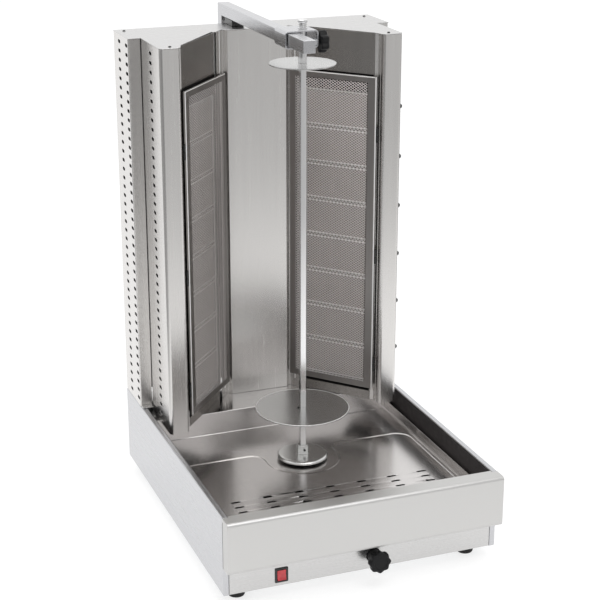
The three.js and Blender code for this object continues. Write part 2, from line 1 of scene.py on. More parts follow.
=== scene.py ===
"""Looks of the upright rotisserie grill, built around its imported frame.

Blender works in metres in the row frame. Fresh shapes are drawn in millimetres from the front edge of the
base sides (y = 0), the middle of the machine (x = 0) and the surface it stands on (z = 0).
"""
import json
import math

import bmesh
import bpy
from mathutils import Matrix, Vector


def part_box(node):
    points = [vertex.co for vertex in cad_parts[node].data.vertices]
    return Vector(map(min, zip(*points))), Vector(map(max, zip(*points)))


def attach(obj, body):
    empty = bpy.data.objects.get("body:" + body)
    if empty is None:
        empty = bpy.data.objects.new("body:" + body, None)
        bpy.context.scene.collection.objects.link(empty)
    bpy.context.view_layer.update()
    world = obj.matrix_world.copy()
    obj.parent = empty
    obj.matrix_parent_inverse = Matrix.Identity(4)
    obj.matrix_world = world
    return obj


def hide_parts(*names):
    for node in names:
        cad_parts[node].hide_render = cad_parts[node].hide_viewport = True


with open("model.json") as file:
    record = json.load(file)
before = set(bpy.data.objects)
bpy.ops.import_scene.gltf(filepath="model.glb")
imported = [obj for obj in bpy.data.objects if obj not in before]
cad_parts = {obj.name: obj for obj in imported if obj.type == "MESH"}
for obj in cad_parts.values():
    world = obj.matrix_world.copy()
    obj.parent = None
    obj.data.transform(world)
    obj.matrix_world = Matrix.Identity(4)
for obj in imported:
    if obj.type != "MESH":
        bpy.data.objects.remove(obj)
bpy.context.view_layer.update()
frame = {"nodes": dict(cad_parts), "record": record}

MM = 0.001
BASE_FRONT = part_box("left_base_side")[0].y
SPIT_Y = 334
BACK_FACE = 686
TOP_FACE = 1004
SIDES = {"left": -1, "right": 1}
SLOT_RGB = {m["slot"]: m["base_color"][:3] for m in frame["record"]["materials"]}
BODY_OF = {node: body for body, nodes in frame["record"]["behaviour"]["bodies"].items() for node in nodes}


def at(x, y, z):
    """A point given in millimetres from the front edge of the base sides, in the row frame."""
    return Vector((x * MM, BASE_FRONT + y * MM, z * MM))


def rad(degrees):
    return math.radians(degrees)


# ---------------------------------------------------------------- camera, floor and light

def make_camera():
    camera = bpy.data.objects.new("camera", bpy.data.cameras.new("camera"))
    camera.location = (-1.09695, -2.86768, 1.5510)
    camera.rotation_euler = (rad(90 - 19.25), 0, rad(-20.94))
    camera.data.lens = 93.95
    camera.data.sensor_width = 36
    bpy.context.scene.collection.objects.link(camera)
    bpy.context.scene.camera = camera


def make_lamp(name, size, power, place, aim):
    data = bpy.data.lights.new(name, "AREA")
    data.shape = "RECTANGLE"
    data.size, data.size_y = size
    data.energy = power
    lamp = bpy.data.objects.new(name, data)
    lamp.location = place
    lamp.rotation_euler = (Vector(aim) - Vector(place)).to_track_quat("-Z", "Y").to_euler()
    bpy.context.scene.collection.objects.link(lamp)


def make_studio():
    """A soft room, brighter behind the machine than in front, with one softbox overhead and one in front."""
    world = bpy.data.worlds.new("studio")
    world.use_nodes = True
    tree = world.node_tree
    way = node(tree, "SeparateXYZ", {0: node(tree, "TexCoord").outputs["Generated"]})
    level = spread(tree, way.outputs[1], 0.8, 1.06, (-0.2, 0.75))
    tree.links.new(level, tree.nodes["Background"].inputs["Strength"])
    tree.nodes["Background"].inputs["Color"].default_value = (1, 1, 1, 1)
    bpy.context.scene.world = world
    make_lamp("overhead_softbox", (2.0, 2.0), 9, (-0.2, 0.3, 2.6), (0, 0.1, 0))
    make_lamp("front_softbox", (1.6, 1.2), 12, (0.2, -1.3, 2.3), (0.1, -0.8, 0))
    bpy.context.scene.view_settings.view_transform = "Standard"


def make_floor():
    mesh = bpy.data.meshes.new("floor")
    far = 30
    mesh.from_pydata([(-far, -far, 0), (far, -far, 0), (far, far, 0), (-far, far, 0)], [], [(0, 1, 2, 3)])
    floor = bpy.data.objects.new("floor", mesh)
    bpy.context.scene.collection.objects.link(floor)
    mesh.materials.append(floor_material())


# ---------------------------------------------------------------- materials

def node(tree, kind, inputs=None, **properties):
    """Adds a shader node, sets its properties, and sets or links its inputs."""
    made = tree.nodes.new("ShaderNode" + kind)
    for name, value in properties.items():
        setattr(made, name, value)
    for name, value in (inputs or {}).items():
        if isinstance(value, bpy.types.NodeSocket):
            tree.links.new(value, made.inputs[name])
        else:
            made.inputs[name].default_value = value
    return made


def new_material(name, **constants):
    """A material with some inputs set: the material, its tree, its shader and the object coordinates."""
    material = bpy.data.materials.new(name)
    material.use_nodes = True
    shader = material.node_tree.nodes["Principled BSDF"]
    for socket, value in constants.items():
        shader.inputs[socket.replace("_", " ")].default_value = value
    tree = material.node_tree
    return material, tree, shader, node(tree, "TexCoord").outputs["Object"]


def emboss(tree, shader, height, strength, distance):
    bump = node(tree, "Bump", {"Height": height, "Strength": strength, "Distance": distance})
    tree.links.new(bump.outputs[0], shader.inputs["Normal"])


def noise(tree, place, scale, detail=2.0, rough=0.5):
    """Noise with its own scale along each axis, per metre."""
    stretched = node(tree, "Mapping", {"Vector": place, "Scale": scale})
    return node(tree, "TexNoise", {"Vector": stretched.outputs[0], "Scale": 1.0, "Detail": detail,
                                   "Roughness": rough}).outputs["Fac"]


def spread(tree, value, low, high, inside=(0.3, 0.7)):
    """Maps a value from the range inside to the range from low to high."""
    made = node(tree, "MapRange", {"Value": value, "From Min": inside[0], "From Max": inside[1],
                                   "To Min": low, "To Max": high})
    return made.outputs[0]


def two_tone(tree, factor, dark, light):
    ramp = node(tree, "ValToRGB", {"Fac": factor})
    ramp.color_ramp.elements[0].position = 0.3
    ramp.color_ramp.elements[1].position = 0.7
    ramp.color_ramp.elements[0].color = (*dark, 1)
    ramp.color_ramp.elements[1].color = (*light, 1)
    return ramp.outputs["Color"]


def shaded(rgb, factor):
    return tuple(min(1.0, c * factor) for c in rgb)


def about_spit(tree, place):
    """Coordinates that follow the circles round the spit: radius, angle and height."""
    centre = at(0, SPIT_Y, 0)
    moved = node(tree, "VectorMath", {0: place, 1: (centre.x, centre.y, 0)}, operation="SUBTRACT")
    flat = node(tree, "VectorMath", {0: moved.outputs[0], 1: (1, 1, 0)}, operation="MULTIPLY")
    radius = node(tree, "VectorMath", {0: flat.outputs[0]}, operation="LENGTH")
    parts = node(tree, "SeparateXYZ", {0: moved.outputs[0]})
    angle = node(tree, "Math", {0: parts.outputs[1], 1: parts.outputs[0]}, operation="ARCTAN2")
    return node(tree, "CombineXYZ", {0: radius.outputs["Value"], 1: angle.outputs[0], 2: parts.outputs[2]}).outputs[0]


GRAIN = {
    "x": ((14, 900, 900), (1.5, 60, 60)),
    "y": ((900, 14, 900), (60, 1.5, 60)),
    "z": ((900, 900, 14), (60, 60, 1.5)),
    "round": ((1400, 0.6, 40), (90, 0.5, 5)),
}


def steel(name, rgb, rough, grain, contrast=0.025, relief=0.08):
    """Brushed stainless steel with its grain along one axis, or in circles round the spit."""
    material, tree, shader, place = new_material(name, Metallic=1.0)
    if grain == "round":
        place = about_spit(tree, place)
    fine_scale, broad_scale = GRAIN[grain]
    fine = noise(tree, place, fine_scale, 3.0, 0.6)
    broad = noise(tree, place, broad_scale, 3.0)
    both = node(tree, "Math", {0: fine, 1: broad}, operation="ADD")
    half = node(tree, "Math", {0: both.outputs[0], 1: 0.5}, operation="MULTIPLY").outputs[0]
    tree.links.new(two_tone(tree, half, shaded(rgb, 1 - contrast), shaded(rgb, 1 + contrast)),
                   shader.inputs["Base Color"])
    tree.links.new(spread(tree, half, rough * 0.93, rough * 1.08), shader.inputs["Roughness"])
    emboss(tree, shader, fine, relief, 0.0001)
    return material


def zinc_material():
    material, tree, shader, place = new_material("zinc_plate", Metallic=1.0)
    cells = node(tree, "TexVoronoi", {"Vector": place, "Scale": 260.0}).outputs["Distance"]
    cloud = noise(tree, place, (35, 35, 35), 4.0)
    rgb = SLOT_RGB["zinc_plate"]
    tree.links.new(two_tone(tree, cloud, shaded(rgb, 0.82), shaded(rgb, 1.1)), shader.inputs["Base Color"])
    tree.links.new(spread(tree, cells, 0.42, 0.6, (0, 0.6)), shader.inputs["Roughness"])
    emboss(tree, shader, cells, 0.2, 0.0002)
    return material


def ceramic_material():
    """Porous radiant plate: small burner ports, darkened as painted shade in the holes, over a slightly uneven warm
    grey body darkened as painted shade from the guard mesh.
    """
    material, tree, shader, place = new_material("ceramic")
    ports = node(tree, "TexVoronoi", {"Vector": place, "Scale": 520.0, "Randomness": 0.35}).outputs["Distance"]
    cloud = noise(tree, place, (24, 24, 24), 5.0)
    # Painted shade: the body colour is cut to 0.42 of its own for the shadow of the guard mesh in front.
    rgb = shaded(SLOT_RGB["ceramic"], 0.42)
    body = two_tone(tree, cloud, shaded(rgb, 0.86), shaded(rgb, 1.08))
    # Painted shade in the port holes: the ports darken the body colour.
    dark = spread(tree, ports, 0.55, 1.0, (0.1, 0.3))
    mixed = node(tree, "VectorMath", {0: body, "Scale": dark}, operation="SCALE")
    tree.links.new(mixed.outputs[0], shader.inputs["Base Color"])
    tree.links.new(spread(tree, cloud, 0.8, 0.95), shader.inputs["Roughness"])
    emboss(tree, shader, ports, 0.5, 0.0008)
    return material


def moulded(name, rgb, rough, grain_size=900, relief=0.15, **constants):
    """Moulded plastic or rubber with a fine sparked grain and slightly uneven gloss."""
    material, tree, shader, place = new_material(name, **constants)
    grain = noise(tree, place, (grain_size,) * 3, 3.0)
    cloud = noise(tree, place, (60, 60, 60), 4.0)
    tree.links.new(two_tone(tree, cloud, shaded(rgb, 0.8), shaded(rgb, 1.25)), shader.inputs["Base Color"])
    tree.links.new(spread(tree, cloud, rough * 0.85, rough * 1.2), shader.inputs["Roughness"])
    emboss(tree, shader, grain, relief, 0.0003)
    return material


# Painted shade zones on the glowing floor: the level at each end of a distance in metres, and that distance's two ends.
FRONT_SHADE_ZONE = (0.47, 1.0, (-2.2, -0.9))
LEFT_SHADE_ZONE = (0.3, 1.0, (-1.0, -0.18))
BACK_RIGHT_SHADE_ZONE = (1.0, 0.4, (0.0, 0.7))


def floor_material():
    """A pale sweep that glows as a light, with painted grey shade zones in front, to the left and at the back right,
    which shade the steel.
    """
    material, tree, shader, place = new_material("glowing_floor_painted_shade", Roughness=0.9)
    parts = node(tree, "SeparateXYZ", {0: place})

    def along(direction):
        return node(tree, "VectorMath", {0: place, 1: direction}, operation="DOT_PRODUCT").outputs["Value"]

    front = spread(tree, parts.outputs[1], *FRONT_SHADE_ZONE)
    beside = node(tree, "Math", {0: along((1, -0.18, 0)), 1: 0.45}).outputs[0]
    behind = along((0.866, 0.5, 0))
    left_side = node(tree, "Math", {0: beside, 1: behind}, operation="MAXIMUM").outputs[0]
    left = spread(tree, left_side, *LEFT_SHADE_ZONE)
    outside = node(tree, "Math", {0: along((1, -0.62, 0)), 1: 0.78}, operation="SUBTRACT").outputs[0]
    corner = node(tree, "Math", {0: outside, 1: along((0.3, 1, 0))}, operation="MINIMUM").outputs[0]
    right = spread(tree, corner, *BACK_RIGHT_SHADE_ZONE)
    level = node(tree, "Math", {0: front, 1: left}, operation="MULTIPLY").outputs[0]
    level = node(tree, "Math", {0: level, 1: right}, operation="MULTIPLY").outputs[0]
    cloud = noise(tree, place, (2, 2, 2), 2.0)
    body = two_tone(tree, cloud, (0.4, 0.4, 0.4), (0.41, 0.41, 0.41))
    mixed = node(tree, "VectorMath", {0: body, "Scale": level}, operation="SCALE")
    tree.links.new(mixed.outputs[0], shader.inputs["Base Color"])
    # The floor glows as a light: its colour, painted shade zones included, is also its emission.
    shader.inputs["Emission Strength"].default_value = 1.7
    tree.links.new(mixed.outputs[0], shader.inputs["Emission Color"])
    return material


def make_materials():
    turned_rgb = SLOT_RGB["turned_steel"]
    dark = SLOT_RGB["knob_plastic"]
    return {
        "steel_x": steel("steel_brushed_x", (0.6, 0.595, 0.59), 0.27, "x", 0.016, 0.05),
        "apron": steel("apron_steel", (0.6, 0.595, 0.585), 0.4, "x", 0.012, 0.03),
        "deck": steel("deck_steel", (0.66, 0.65, 0.64), 0.17, "x", 0.02, 0.04),
        "steel_y": steel("steel_brushed_y", (0.565, 0.567, 0.583), 0.27, "y", 0.012, 0.04),
        "steel_z": steel("steel_brushed_z", (0.7, 0.685, 0.67), 0.26, "z"),
        "tray": steel("tray_steel", (0.68, 0.66, 0.65), 0.22, "y", 0.03, 0.06),
        "heat": steel("heat_tinted_steel", shaded(SLOT_RGB["heat_tinted_steel"], 0.8), 0.25, "z", 0.06),
        "guard": steel("guard_steel", (0.3, 0.285, 0.275), 0.3, "z", 0.06, 0.1),
        "mesh": steel("guard_mesh_steel", (0.68, 0.645, 0.63), 0.4, "z", 0.06, 0.1),
        # Painted highlight: near-white steel for edges, rims and beads that stand for bright lines of light.
        "rail": steel("painted_highlight_steel", (0.95, 0.94, 0.93), 0.5, "z", 0.03, 0.1),
        "turned": steel("turned_steel", turned_rgb, 0.24, "round", 0.05),
        "disc": steel("disc_steel", shaded(turned_rgb, 0.78), 0.24, "round", 0.05),
        "bright": steel("bright_turned_steel", turned_rgb, 0.14, "round", 0.03, 0.04),
        "polished": steel("polished_steel", SLOT_RGB["polished_steel"], 0.12, "z", 0.03, 0.04),
        "zinc": zinc_material(),
        "ceramic": ceramic_material(),
        "rubber": moulded("rubber", shaded(SLOT_RGB["rubber"], 0.4), 0.6, 700, 0.3, Specular_IOR_Level=0.3),
        "knob": moulded("knob_plastic", shaded(dark, 0.3), 0.45, 1200, 0.1, Specular_IOR_Level=0.18),
        "gloss": moulded("switch_plastic", SLOT_RGB["switch_plastic"], 0.2, 1500, 0.04),
        "red": moulded("red_rocker", SLOT_RGB["red_rocker"], 0.16, 300, 0.05, Transmission_Weight=0.15,
                       Coat_Weight=0.4, Coat_Roughness=0.08),
        "brass": steel("brass", SLOT_RGB["brass"], 0.28, "x", 0.06, 0.1),
        # Painted shade: near-black for the vent boards, drain slot walls and the sheet round the tiles.
        "shade_black": moulded("painted_shade_black", (0.005, 0.0045, 0.0045), 0.85, 500, 0.2, Specular_IOR_Level=0.1),
        # Black rubber for the apron buffers, and painted shade on the inner walls of the base.
        "liner": moulded("rubber_and_painted_shade_black", (0.022, 0.018, 0.018), 0.6, 500, 0.2),
    }


# ---------------------------------------------------------------- shapes

class Shape:
    """Vertices in machine millimetres and faces, joined as they are added."""

    def __init__(self):
        self.verts, self.faces = [], []

    def add(self, part, place=None):
        verts, faces = part
        first = len(self.verts)
        self.verts += [place @ Vector(v) if place else Vector(v) for v in verts]
        self.faces += [[i + first for i in face] for face in faces]
        return self


TURN = {
    "x": Matrix.Rotation(rad(90), 4, "Y"),
    "-x": Matrix.Rotation(rad(-90), 4, "Y"),
    "y": Matrix.Rotation(rad(-90), 4, "X"),
    "-y": Matrix.Rotation(rad(90), 4, "X"),
    "z": Matrix.Identity(4),
    "-z": Matrix.Rotation(rad(180), 4, "X"),
}


def facing(axis, x, y, z):
    """Moves a shape drawn about its own Z axis to a place where that axis points along the one named."""
    return Matrix.Translation((x, y, z)) @ TURN[axis]


def turned(profile, sides=96, closed=False):
    """A solid of revolution about Z from (radius, height) points; a closed profile makes a ring."""
    verts, faces, rings = [], [], []
    for r, h in profile:
        if r == 0:
            rings.append([len(verts)] * sides)
            verts.append((0, 0, h))
            continue
        rings.append(list(range(len(verts), len(verts) + sides)))
        verts += [(r * math.cos(2 * math.pi * k / sides), r * math.sin(2 * math.pi * k / sides), h)
                  for k in range(sides)]
    if closed:
        rings.append(rings[0])
    for a, b in zip(rings, rings[1:]):
        for k in range(sides):
            n = (k + 1) % sides
            corners = list(dict.fromkeys((a[k], a[n], b[n], b[k])))
            if len(corners) > 2:
                faces.append(corners)
    return verts, faces


def rounded_profile(points, radius, steps=5):
    """Rounds every inner corner of an open (radius, height) profile."""
    made = [points[0]]
    for before, corner, after in zip(points, points[1:], points[2:]):
        p = Vector(corner)
        a, b = Vector(before) - p, Vector(after) - p
        reach = min(radius, a.length * 0.45, b.length * 0.45)
        start, end = p + a.normalized() * reach, p + b.normalized() * reach
        for k in range(steps + 1):
            t = k / steps
            made.append(tuple(start * (1 - t) ** 2 + p * 2 * t * (1 - t) + end * t ** 2))
    return made + [points[-1]]


def peg(radius, low, high, soft, sides=24):
    """A solid pin about Z with softened rims."""
    return turned(rounded_profile([(0, low), (radius, low), (radius, high), (0, high)], soft), sides)


def raised(outline, z0, z1):
    """An outline in x and y drawn up from z0 to z1."""
    n = len(outline)
    verts = [(x, y, z0) for x, y in outline] + [(x, y, z1) for x, y in outline]
    sides = [(i, (i + 1) % n, (i + 1) % n + n, i + n) for i in range(n)]
    return verts, [list(range(n))[::-1], list(range(n, 2 * n)), *sides]


def block(x0, x1, y0, y1, z0, z1):
    return raised([(x0, y0), (x1, y0), (x1, y1), (x0, y1)], z0, z1)


def stadium(length, width, steps=6):
    """A slot outline with round ends, its length along x."""
    r, reach = width / 2, (length - width) / 2
    ends = []
    for side in (1, -1):
        for k in range(steps + 1):
            angle = math.pi * (k / steps - 0.5) + (0 if side > 0 else math.pi)
            ends.append((side * reach + r * math.cos(angle), r * math.sin(angle)))
    return ends


def circle(radius, sides, start=0.0):
    """Points round the origin, the first at the angle start."""
    return [(radius * math.cos(2 * math.pi * k / sides + start), radius * math.sin(2 * math.pi * k / sides + start))
            for k in range(sides)]


def star(radius, lobes, depth, sides=160):
    return [((radius - depth + depth * math.cos(lobes * t)) * math.cos(t),
             (radius - depth + depth * math.cos(lobes * t)) * math.sin(t))
            for t in (2 * math.pi * k / sides for k in range(sides))]


def lofted(loops, capped=True):
    """Joins loops of equally many points; each loop is a list of 3D points."""
    n = len(loops[0])
    verts = [p for loop in loops for p in loop]
    faces = [(r * n + i, r * n + (i + 1) % n, (r + 1) * n + (i + 1) % n, (r + 1) * n + i)
             for r in range(len(loops) - 1) for i in range(n)]
    if capped:
        faces += [list(range(n))[::-1], list(range(len(verts) - n, len(verts)))]
    return verts, faces


def filled(loops, z):
    """Flat faces at height z between outlines, the ones inside being holes."""
    curve = bpy.data.curves.new("outline", "CURVE")
    curve.dimensions, curve.fill_mode = "2D", "BOTH"
    for loop in loops:
        spline = curve.splines.new("POLY")
        spline.points.add(len(loop) - 1)
        for point, (x, y) in zip(spline.points, loop):
            point.co = (x, y, 0, 1)
        spline.use_cyclic_u = True
    holder = bpy.data.objects.new("outline", curve)
    bpy.context.scene.collection.objects.link(holder)
    mesh = bpy.data.meshes.new_from_object(holder.evaluated_get(bpy.context.evaluated_depsgraph_get()))
    part = [(v.co.x, v.co.y, z) for v in mesh.vertices], [list(p.vertices) for p in mesh.polygons]
    bpy.data.objects.remove(holder)
    bpy.data.meshes.remove(mesh)
    bpy.data.curves.remove(curve)
    return part


# ---------------------------------------------------------------- pieces

def link(name, mesh):
    made = bpy.data.objects.new(name, mesh)
    bpy.context.scene.collection.objects.link(made)
    return made


def settle(made, bevel, segments, thickness, sharp):
    """Gives a piece its sheet thickness, softened edges and clean shading."""
    mesh = made.data
    mesh.shade_smooth()
    mesh.set_sharp_from_angle(angle=rad(sharp))
    if thickness:
        sheet = made.modifiers.new("sheet", "SOLIDIFY")
        sheet.thickness = thickness * MM
        sheet.offset = -1
        sheet.use_even_offset = True
    if bevel:
        edge = made.modifiers.new("edge", "BEVEL")
        edge.width = bevel * MM
        edge.segments = segments
        edge.limit_method = "ANGLE"
        edge.angle_limit = rad(sharp)
        edge.use_clamp_overlap = True
    weigh = made.modifiers.new("shading", "WEIGHTED_NORMAL")
    weigh.keep_sharp = True
    weigh.weight = 100


def piece(name, shape, material, body, replaces=(), bevel=0.0, segments=2, thickness=0.0, sharp=35,
          flip=False):
    """Makes one named piece from a Shape, with its finish, on its CAD body."""
    mesh = bpy.data.meshes.new(name)
    mesh.from_pydata([at(*v) for v in shape.verts], [], shape.faces)
    work = bmesh.new()
    work.from_mesh(mesh)
    bmesh.ops.remove_doubles(work, verts=work.verts, dist=1e-6)
    bmesh.ops.recalc_face_normals(work, faces=work.faces)
    if flip or (thickness and sum(f.normal.z * f.calc_area() for f in work.faces) < 0):
        bmesh.ops.reverse_faces(work, faces=work.faces)
    work.to_mesh(mesh)
    work.free()
    made = link(name, mesh)
    mesh.materials.append(looks[material])
    settle(made, bevel, segments, thickness, sharp)
    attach(made, body)
    if replaces:
        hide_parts(*replaces)
    return made


def refined(cad_node, material, bevel=0.4, segments=2, holes=None, sharp=35, rounded_ends=0.0):
    """Stands for a CAD node with the same shape, with softened edges and any punched holes."""
    work = bmesh.new()
    work.from_mesh(frame["nodes"][cad_node].data)
    bmesh.ops.remove_doubles(work, verts=work.verts, dist=1e-5)
    bmesh.ops.dissolve_limit(work, angle_limit=rad(0.5), verts=work.verts, edges=work.edges)
    bmesh.ops.recalc_face_normals(work, faces=work.faces)
    if rounded_ends:
        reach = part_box(cad_node)[1].x - 0.1 * MM
        rims = [e for e in work.edges if all(abs(v.co.x) > reach for v in e.verts)]
        bmesh.ops.bevel(work, geom=rims, offset=rounded_ends * MM, segments=4, profile=0.5, affect="EDGES",
                        clamp_overlap=True)
    work.verts.ensure_lookup_table()
    work.verts.index_update()
    name = cad_node + "_fine"
    mesh = bpy.data.meshes.new(name)
    mesh.from_pydata([v.co.copy() for v in work.verts], [], [[v.index for v in f.verts] for f in work.faces])
    work.free()
    made = link(name, mesh)
    if holes:
        punch(made, holes)
    made.data.materials.clear()
    made.data.materials.append(looks[material])
    settle(made, bevel, segments, 0, sharp)
    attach(made, BODY_OF[cad_node])
    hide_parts(cad_node)
    return made


def punch(made, holes):
    """Cuts a Shape out of a piece and keeps the result as the piece's mesh."""
    tool_mesh = bpy.data.meshes.new("punch")
    tool_mesh.from_pydata([at(*v) for v in holes.verts], [], holes.faces)
    work = bmesh.new()
    work.from_mesh(tool_mesh)
    bmesh.ops.recalc_face_normals(work, faces=work.faces)
    work.to_mesh(tool_mesh)
    work.free()
    tool = link("punch", tool_mesh)
    step = made.modifiers.new("punch", "BOOLEAN")
    step.operation = "DIFFERENCE"
    step.object = tool
    step.solver = "EXACT"
    result = bpy.data.meshes.new_from_object(made.evaluated_get(bpy.context.evaluated_depsgraph_get()))
    made.modifiers.clear()
    made.data = result
    bpy.data.objects.remove(tool)


# ---------------------------------------------------------------- small hardware

def pan_head(radius, height):
    """A domed screw head with a cross recess sunk in its top."""
    arm, reach, floor = radius * 0.13, radius * 0.5, height * 0.45
    rim = turned([(radius, 0), (radius, height * 0.3), (radius * 0.9, height * 0.66), (radius * 0.7, height * 0.9),
                  (reach * 1.15, height)], 32)
    head = Shape().add(rim)
    cross = [(arm, arm), (arm, reach), (-arm, reach), (-arm, arm), (-reach, arm), (-reach, -arm), (-arm, -arm),
             (-arm, -reach), (arm, -reach), (arm, -arm), (reach, -arm), (reach, arm)]
    head.add(filled([circle(reach * 1.15, 32), cross], height))
    well = lofted([[(x, y, height) for x, y in cross], [(x * 0.8, y * 0.8, floor) for x, y in cross]], False)
    head.add(well)
    head.add(([(x * 0.8, y * 0.8, floor) for x, y in cross], [list(range(len(cross)))]))
    head.add(([(x, y, 0) for x, y in circle(radius, 32)], [list(range(32))[::-1]]))
    return head.verts, head.faces


def screws(name, places, axis, material, body, radius=4.0, height=2.2):
    shape = Shape()
    head = pan_head(radius, height)
    for place in places:
        shape.add(head, facing(axis, *place))
    return piece(name, shape, material, body, sharp=50)


# ---------------------------------------------------------------- base

def vent_rows(side):
    """Horizontal vent slots: two columns in the side box and one in the column cover."""
    rows, box_top, box_pitch, cover_top, cover_pitch = 41, 987.5, 19.42, 984, 19.5
    slot = raised(stadium(18, 7.2), -4, 4)
    turn = Matrix(((0, 0, 1, 0), (1, 0, 0, 0), (0, 1, 0, 0), (0, 0, 0, 1)))
    box, cover = Shape(), Shape()
    for k in range(rows):
        for y in (586, 642):
            box.add(slot, Matrix.Translation((side * 289, y, box_top - box_pitch * k)) @ turn)
        cover.add(slot, Matrix.Translation((side * 262, 503, cover_top - cover_pitch * k)) @ turn)
    return box, cover


def make_base():
    for side in SIDES:
        refined(side + "_base_side", "steel_y")
    refined("control_panel", "steel_x")
    refined("juice_drawer", "apron", 0.5, rounded_ends=1.45)
    buffers = Shape()
    for s in SIDES.values():
        buffers.add(block(*sorted((s * 290, s * 280)), -2.6, -0.3, 88, 186))
    piece("apron_buffers", buffers, "liner", "frame")
    refined("base_back_panel", "steel_x")
    refined("rear_deck", "deck")
    refined("bottom_pan", "zinc", 0.3)
    for place in ("front_left", "front_right", "rear_left", "rear_right"):
        make_foot("foot_" + place)
    for side, s in SIDES.items():
        wall = sorted((s * 277.9, s * 276.7))
        liner = Shape().add(block(*wall, 3, 568, 134, 191.5))
        # Painted shade: a black sheet on the inner face of each base side.
        piece(side + "_wall_shade_sheet", liner, "liner", "frame", bevel=0.4)
    corners = [(x, z) for x in (-270, 270) for z in (40, 165)] + [(0, 165)]
    screws("base_back_screws", [(x, BACK_FACE, z) for x, z in corners], "y", "polished", "frame")


def make_foot(cad_node):
    low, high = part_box(cad_node)
    x, y = (low.x + high.x) / 2 / MM, ((low.y + high.y) / 2 - BASE_FRONT) / MM
    profile = rounded_profile([(0, 0.6), (9, 0.6), (10, 0), (16, 0), (17, 2.5), (17, 9), (14.5, 12), (12, 15),
                               (12, 29.5), (0, 29.5)], 1.2)
    ribs = Shape().add(turned(profile, 72), facing("z", x, y, 0))
    for k in range(24):
        angle = 2 * math.pi * k / 24
        ribs.add(block(16.4, 17.0, -0.7, 0.7, 3, 8.6), facing("z", x, y, 0) @ Matrix.Rotation(angle, 4, "Z"))
    piece(cad_node + "_fine", ribs, "rubber", "frame", [cad_node])


# ---------------------------------------------------------------- drip tray

TRAY = {"half": 272, "front": 2, "back": 516.5, "floor": 127, "drop": 1.1, "fold": 5, "back_fold": 1.2,
        "edge": 150, "front_edge": 190, "back_edge": 176.5, "sheet": 1.5}
RECESS = {"half": 262, "front": 14, "back": 379, "corner": 35, "front_corner": 12, "boss": 80, "blend": 30}
RECESS_SLOPE = 2.6
SPIT_TRAVEL = 40
HUB_SLOT_R = 12
DRAIN = {"rows": (137, 160, 183), "pitch": 68.5, "shift": 4, "length": 21, "width": 6, "depth": 3.2}


def arc(cx, cy, r, start, end, steps):
    angles = [start + (end - start) * k / steps for k in range(steps + 1)]
    return [(cx + r * math.cos(angle), cy + r * math.sin(angle)) for angle in angles]


def recess_outline(grow):
    """Outline of the sunk floor, which runs round a boss about the spit, moved outwards by grow."""
    half, front, back = RECESS["half"] + grow, RECESS["front"] - grow, RECESS["back"] + grow
    corner, boss, blend = RECESS["corner"] + grow, RECESS["boss"] - grow, RECESS["blend"] + grow
    small = RECESS["front_corner"] + grow
    blend_y = back - blend
    blend_x = math.sqrt((boss + blend) ** 2 - (blend_y - SPIT_Y) ** 2)
    meet = math.atan2(blend_y - SPIT_Y, blend_x)
    quarter = math.pi / 2
    right = arc(half - small, front + small, small, -quarter, 0, 8)
    right += arc(half - corner, back - corner, corner, 0, quarter, 16)
    right += arc(blend_x, blend_y, blend, quarter, math.pi + meet, 16)
    right += arc(0, SPIT_Y, boss, meet, -quarter, 28)[1:]
    left = [(-x, y) for x, y in reversed(right[:-1])]
    return right + left


